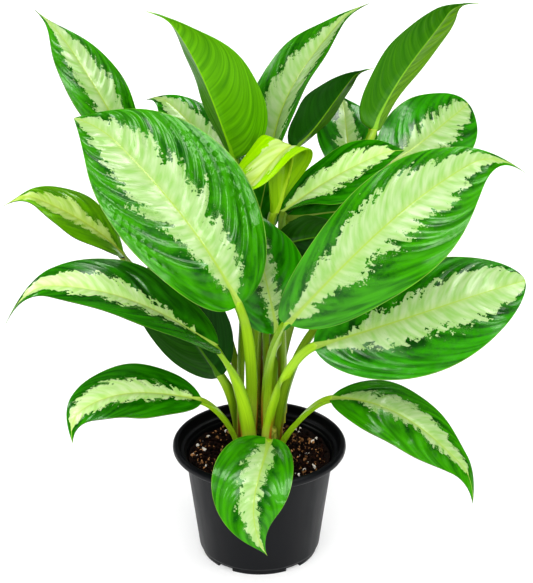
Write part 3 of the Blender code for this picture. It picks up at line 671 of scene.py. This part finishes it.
def scatter(name, finish, count, sizes, flatness):
    """Loose bits strewn over the soil, each a squashed, dented ball half sunk in it."""
    draw = random.Random(f"{SEED}{name}")
    edge = wall_radius(SOIL_LEVEL) - WALL - BIT_EDGE
    bm = bmesh.new()
    for _ in range(count):
        radius = edge * math.sqrt(draw.random())
        bearing = math.tau * draw.random()
        x, y = radius * math.cos(bearing), radius * math.sin(bearing)
        size = draw.uniform(*sizes) * MM
        turn = Euler([math.tau * draw.random() for _ in range(3)]).to_matrix().to_4x4()
        shape = Matrix.Diagonal((size, size * draw.uniform(0.5, 1.0), size * flatness, 1))
        place = Matrix.Translation((x, y, soil_height(x, y) + BIT_LIFT * size))
        made = bmesh.ops.create_icosphere(bm, subdivisions=1, radius=1.0,
                                          matrix=place @ turn @ shape)["verts"]
        middle = Vector((x, y, soil_height(x, y)))
        for vert in made:
            vert.co += (vert.co - middle) * draw.uniform(-0.25, 0.2)
    place_piece(name, bm, [finish], None, 25)


def make_cane(name, finish):
    """A short stem with the rings of its old leaves, in its hole in the soil."""
    x, y, radius, top = (value * MM for value in CANES[name])
    profile = [(0.0, SOIL_LEVEL - CANE_DEPTH), (radius, SOIL_LEVEL - CANE_DEPTH)]
    height = SOIL_LEVEL + 2 * MM
    while height < top - 4 * MM:
        profile += [(radius, height - 1.2 * MM), (radius - 0.5 * MM, height)]
        profile += [(radius, height + 1.2 * MM)]
        height += NODE_SPACING
    profile += [(radius - 0.5 * MM, top - 3 * MM), (0.55 * radius, top), (0.0, top + 1 * MM)]
    bm = turned(rounded(profile, 0.6 * MM, 3), CANE_STEPS)
    bmesh.ops.translate(bm, verts=bm.verts, vec=(x, y, 0.0))
    place_piece(f"{name}_bark", bm, [finish], name, 50)


def make_canes():
    bark = earthy("cane_bark", "#6E7E1E", "#A8A848", 3.0, 0.6)
    for name in CANES:
        make_cane(name, bark)


# Forms of the leaves
def toward(bearing, rise=0.0):
    """Unit vector at a bearing and a rise, in degrees."""
    turn = math.radians(bearing)
    lift = math.radians(rise)
    return Vector((math.sin(turn) * math.cos(lift), -math.cos(turn) * math.cos(lift), math.sin(lift)))


def bezier(points, share):
    """Point and direction on a cubic curve."""
    a, b, c, d = points
    rest = 1.0 - share
    place = a * rest ** 3 + b * 3 * rest ** 2 * share + c * 3 * rest * share ** 2 + d * share ** 3
    slope = (b - a) * rest ** 2 + (c - b) * 2 * rest * share + (d - c) * share ** 2
    return place, slope.normalized()


def midrib(leaf):
    """The blade's midrib as a cubic curve, bowed off its chord."""
    base = Vector(leaf.base) * MM
    chord = Vector(leaf.tip) * MM - base
    face = toward(*leaf.face)
    up = (face - chord * face.dot(chord) / chord.length_squared).normalized()
    right = chord.normalized().cross(up)
    near, far = ((up * rise + right * sway) * MM * 4 / 3 for rise, sway in (leaf.near, leaf.far))
    return (base, base + chord / 3 + near, base + chord * 2 / 3 + far, base + chord)


def petiole(leaf, rib):
    """The petiole's curve, up along its cane and over to the blade, and the way in to the cane."""
    x, y, radius, _ = (value * MM for value in CANES[leaf.cane])
    height, bearing = leaf.foot
    away = toward(bearing)
    foot = Vector((x, y, height * MM)) + away * (radius + GAP)
    climb = Vector((0, 0, leaf.rise * MM)) + away * leaf.flare * leaf.rise * MM
    start = (rib[1] - rib[0]).normalized()
    return (foot, foot + climb, rib[0] - start * leaf.reach * MM, rib[0]), -away


def smooth(share):
    """A share from 0 to 1, eased at both ends."""
    share = min(max(share, 0.0), 1.0)
    return share * share * (3 - 2 * share)


def blade_half(leaf, u):
    """Half the blade's width: round at the base, drawn out to a point at the tip."""
    power = math.log(0.5) / math.log(leaf.belly)
    swell = math.sin(math.pi * min(u, 1.0) ** power)
    power = leaf.round_ + (leaf.point - leaf.round_) * u * u
    return leaf.width / 2 * MM * max(swell, 0.0) ** power


def cream_reach(leaf, u, v):
    """Half width of the cream splash as a share of the half blade."""
    base, middle, tip = leaf.cream_right if v > 0 and leaf.cream_right else leaf.cream
    control = 2 * middle - (base + tip) / 2
    share = base * (1 - u) ** 2 + control * 2 * u * (1 - u) + tip * u * u
    return share - max(u - leaf.ends, 0.0) * 12 - max(SPLASH_START - u, 0.0) * 8


def vein_sweep(u, spread):
    """How far towards the tip a side vein has run at a spread from the midrib, in half widths."""
    return (0.15 + 0.6 * u) * spread + 0.4 * spread ** 2 + (1.2 - 0.6 * u) * spread ** 5


def pale_rib_half(u):
    """Half the width in mm of the pale line along the midrib, which flares into the petiole."""
    return 0.25 + 0.8 * (1 - u) ** 1.5 + 2.6 * (1 - u) ** 16


def pleats(leaf, side_vein, count, u, spread):
    """Height of the blade's face between its side veins, in mm: puffed up, and uneven."""
    puff = math.sqrt(math.sin(math.pi * (count % 1.0) ** 1.5) ** 2 + 0.02) - 0.6
    strength = max(0.8 + 1.2 * noise.noise(Vector((0.45 * count, 3.5, leaf.width))), 0.0)
    uneven = noise.noise(Vector((side_vein / PUFF_GRAIN, spread * 2.2, leaf.width)))
    fade = min(2.2 * spread, 1.0) * (1 - spread ** 6) * math.sin(math.pi * u) ** 0.5
    return leaf.pleat * fade * (1.1 * strength * puff + 0.8 * uneven)


def stalk_row(leaf, curve, inward, face, share, columns):
    """Points across the petiole: place, way up, thickness, and their places on the leaf's three maps.

    The map "vein" holds mm along the leaf, mm outward and the leaf's own number, "blade" the way along,
    the spread and how far inside the splash the point is, and "ribs" mm from the midrib's pale line,
    the count of side veins and a mark for the petiole.
    """
    place, along = bezier(curve, share)
    normal = inward.lerp(face, smooth(share))
    normal = (normal - along * normal.dot(along)).normalized()
    side = along.cross(normal)
    half = STALK_HALF + (leaf.sheath * MM - STALK_HALF) * (1 - smooth(share))
    row = []
    for v in columns:
        point = place + side * half * v + normal * STALK_CHANNEL * v * v * (1 - share)
        thick = STALK_EDGE + (STALK_THICK - STALK_EDGE) * math.sqrt(max(1 - v * v, 0.0))
        length = share * (Vector(leaf.base).z - leaf.foot[0])
        row.append((point, normal, thick, (length, half * v / MM, leaf.width),
                    (share, abs(v), -1.0), OFF_RIB))
    return row


def blade_row(leaf, rib, face, share, columns):
    """Points across the blade, as for the petiole."""
    u = EVEN_ROWS * share + (1 - EVEN_ROWS) * (1 - math.cos(math.pi * share)) / 2
    place, along = bezier(rib, u)
    normal = (face - along * face.dot(along)).normalized()
    side = along.cross(normal)
    end = max((u - TIP_START) / (1 - TIP_START), 0.0)
    place = place + (side * leaf.curl - normal * leaf.hook) * MM * end * end
    fold = math.radians(leaf.fold)
    length = (Vector(leaf.tip) - Vector(leaf.base)).length
    spacing = VEIN_SPACING + SPACING_GAIN * leaf.width
    root = max(1 - u / ROOT_LENGTH, 0.0)
    row = []
    for v in columns:
        spread = abs(v)
        half = max(blade_half(leaf, u) * (1 + math.copysign(leaf.uneven, v)),
                   STALK_HALF * (1 - u) ** 8)
        lift = half * spread * math.sin(fold) - leaf.droop * MM * v * v * math.sin(math.pi * u)
        wave = leaf.wave * MM * math.sin(math.tau * RIPPLES * u + RIPPLE_SLANT * v) * v * v
        wave *= math.sin(math.pi * u)
        across = half * spread / MM
        side_vein = u * length - half / MM * vein_sweep(u, spread)
        count = side_vein / spacing
        near_rib = math.exp(-(across * MM / RIB_HALF) ** 2)
        groove = RIB_GROOVE * (1 - u) * near_rib
        ripple = pleats(leaf, side_vein, count, u, spread) * MM
        point = place + side * half * v * math.cos(fold) + normal * (lift + wave + ripple - groove)
        point -= along * leaf.lobe * MM * spread * (1 - u) ** 4
        thin = BLADE_THICK + RIB_THICK * (1 - u) ** 0.8 * near_rib
        stalk = STALK_EDGE + (STALK_THICK - STALK_EDGE) * math.sqrt(max(1 - v * v, 0.0))
        thick = thin + (stalk - thin) * smooth(root)
        row.append((point, normal, thick, (side_vein, math.copysign(across, v), 3 * leaf.width),
                    (u * length, spread, cream_reach(leaf, u, v) - spread),
                    (across - pale_rib_half(u), count, 0.0)))
    return row


def make_leaf(leaf, finishes):
    """One fine sheet from the petiole's foot to the blade's tip, with its underside below it."""
    rib = midrib(leaf)
    curve, inward = petiole(leaf, rib)
    face = toward(*leaf.face)
    half_count = HALF_COLUMNS + round(leaf.width / 2 / COLUMN)
    columns = [math.copysign(abs(step / half_count) ** CROWDING, step)
               for step in range(-half_count, half_count + 1)]
    row_count = round((Vector(leaf.tip) - Vector(leaf.base)).length / ROW)
    rows = [stalk_row(leaf, curve, inward, face, number / STALK_ROWS, columns)
            for number in range(STALK_ROWS)]
    rows += [blade_row(leaf, rib, face, number / row_count, columns)
             for number in range(row_count + 1)]
    bm = bmesh.new()
    bm.loops.layers.uv.new("leaf_map")
    maps = [bm.verts.layers.float_vector.new(name) for name in ("vein", "blade", "ribs")]
    depth = bm.verts.layers.float_vector.new("depth")
    bmesh.ops.create_grid(bm, x_segments=len(columns) - 1, y_segments=len(rows) - 1, size=0.5,
                          calc_uvs=True)
    for vert in bm.verts:
        column = round((vert.co.x + 0.5) * (len(columns) - 1))
        row = round((vert.co.y + 0.5) * (len(rows) - 1))
        point, normal, thick, *places = rows[row][column]
        vert.co = point
        vert[depth] = normal * thick
        for layer, place in zip(maps, places):
            vert[layer] = place
    for patch in bm.faces:
        on_stalk = max(vert[maps[2]].z for vert in patch.verts) > 0.5
        patch.material_index = STALK_PLACE if on_stalk else FACE_PLACE
    upper = set(bm.faces)
    lower = bmesh.ops.extrude_face_region(bm, geom=list(upper), use_keep_orig=True)["geom"]
    for item in lower:
        if isinstance(item, bmesh.types.BMVert):
            item.co -= item[depth]
    for patch in bm.faces:
        if patch not in upper and patch.material_index == FACE_PLACE:
            patch.material_index = BACK_PLACE
    bm.verts.layers.float_vector.remove(depth)
    tip = [vert for vert in bm.verts if (vert.co - rows[-1][0][0]).length < BLADE_THICK * 2]
    bmesh.ops.remove_doubles(bm, verts=tip, dist=MERGE)
    place_piece(f"{leaf.name}_blade", bm, finishes, leaf.name, 60)


def make_leaves():
    """Each leaf in the finishes of its face, its back and its petiole."""
    # A face's deep and bright green, its cream and the paler streaks in it, and its midrib
    faces = {
        "deep": leaf_face("waxy_leaf_deep", "#063C00", "#2E8A00", "#A0B884", "#84AC5C", "#94B048"),
        "fresh": leaf_face("waxy_leaf_fresh", "#0A4800", "#388C00", "#A0B884", "#84AC5C", "#94B048"),
        "sheen": leaf_face("waxy_leaf_sheen", "#0A4A04", "#388A00", "#A0B884", "#84AC5C", "#94B048"),
        # Painted light: this face is a copy with lighter cream, greens and midrib, for leaves that lie in
        # the shade of others
        "pale": leaf_face("waxy_leaf_painted_lit", "#0A4A00", "#2E8600", "#CEE6A8", "#AEDA78", "#B4D05C"),
        "olive": leaf_face("waxy_leaf_olive", "#448200", "#6AAC00", "#C4DE84", "#A6CC50", "#AEC640"),
        "young": leaf_face("waxy_leaf_young", "#80BC00", "#9ED400", "#C0D48A", "#A4C44C", "#B2C83C"),
    }
    # A back's left and right green, one half painted lit and the other in painted shade, its side veins
    # and its midrib; the shaded, dim, middle and sunlit backs are copies of one back painted darker or
    # lighter for how much light falls on each leaf
    backs = {
        "shaded": leaf_back("leaf_back_shaded", "#124C00", "#225600", "#083000", "#4E7E10"),
        "dim": leaf_back("leaf_back_dim", "#4C8200", "#1E5A04", "#0E4000", "#7AA81C"),
        "middle": leaf_back("leaf_back_middle", "#649400", "#3C7600", "#1E5C00", "#7CAE28"),
        "sunlit": leaf_back("leaf_back_sunlit", "#62A400", "#4C8E04", "#2E6C00", "#80B814"),
        "young": leaf_back("leaf_back_young", "#86B800", "#90BE08", "#689C00", "#A4C828"),
    }
    # A petiole's middle, its sides, its foot and its dry edge
    stalks = {
        "bright": petiole_skin("petiole_bright", "#9CC420", "#78A014", "#CACA60", "#A4641E"),
        "shaded": petiole_skin("petiole_shaded", "#8CB01E", "#648A10", "#B4B43A", "#8A5A1C"),
    }
    for leaf in LEAVES:
        make_leaf(leaf, [faces[leaf.upper], backs[leaf.under], stalks[leaf.stalk]])


# The stage
def light_box(name, place, size, power):
    """A square soft box above the plant, which is seen only as a reflection in its shiny parts."""
    light = bpy.data.lights.new(name, "AREA")
    light.shape = "SQUARE"
    light.size = size
    light.energy = power
    box = bpy.data.objects.new(name, light)
    box.location = place
    box.rotation_euler = (Vector(place) - Vector(PLANT_MIDDLE)).to_track_quat("Z", "Y").to_euler()
    box.visible_diffuse = False
    bpy.context.scene.collection.objects.link(box)


def sky_light(name, way, breadth, strength):
    """A far, broad light, which lights the plant and the whole floor alike."""
    light = bpy.data.lights.new(name, "SUN")
    light.angle = math.radians(breadth)
    light.energy = strength
    lamp = bpy.data.objects.new(name, light)
    lamp.rotation_euler = Vector(way).to_track_quat("Z", "Y").to_euler()
    lamp.visible_glossy = False
    bpy.context.scene.collection.objects.link(lamp)


def make_stage():
    """A broad sheet of matt white paper that glows faintly of itself, which lightens the shadows on it, a
    dim white room and the lights.
    """
    bm = bmesh.new()
    bmesh.ops.create_grid(bm, x_segments=1, y_segments=1, size=FLOOR_HALF)
    mesh = bpy.data.meshes.new("floor")
    bm.to_mesh(mesh)
    bm.free()
    floor = bpy.data.objects.new("floor", mesh)
    bpy.context.scene.collection.objects.link(floor)
    white, _, shader = new_finish("glowing_white_paper")
    shader["Base Color"].default_value = linear("#E0E0E0")
    shader["Roughness"].default_value = 0.9
    # Painted light: the paper glows faintly though it is no lamp, which lightens the shadows cast on it
    shader["Emission Color"].default_value = (1.0, 1.0, 1.0, 1.0)
    shader["Emission Strength"].default_value = FLOOR_GLOW
    mesh.materials.append(white)
    world = bpy.data.worlds.new("white_room")
    world.use_nodes = True
    background = world.node_tree.nodes["Background"].inputs
    background["Color"].default_value = (1.0, 1.0, 1.0, 1.0)
    background["Strength"].default_value = WORLD_STRENGTH
    scene = bpy.context.scene
    scene.world = world
    scene.view_settings.view_transform = "Standard"
    scene.view_settings.look = "Medium High Contrast"
    for light in SKY_LIGHTS:
        sky_light(*light)
    for box in SOFT_BOXES:
        light_box(*box)


def make_camera():
    """The camera at the photograph's angle, with its focal length."""
    data = bpy.data.cameras.new("camera")
    data.sensor_width = SENSOR
    data.lens = FOCAL_PIXELS * SENSOR / IMAGE_HEIGHT
    camera = bpy.data.objects.new("camera", data)
    camera.location = CAMERA_PLACE
    camera.rotation_euler = (math.radians(90 - CAMERA_DOWN), 0.0, 0.0)
    bpy.context.scene.collection.objects.link(camera)
    bpy.context.scene.camera = camera


make_stage()
make_camera()
make_pot()
make_soil()
make_canes()
make_leaves()
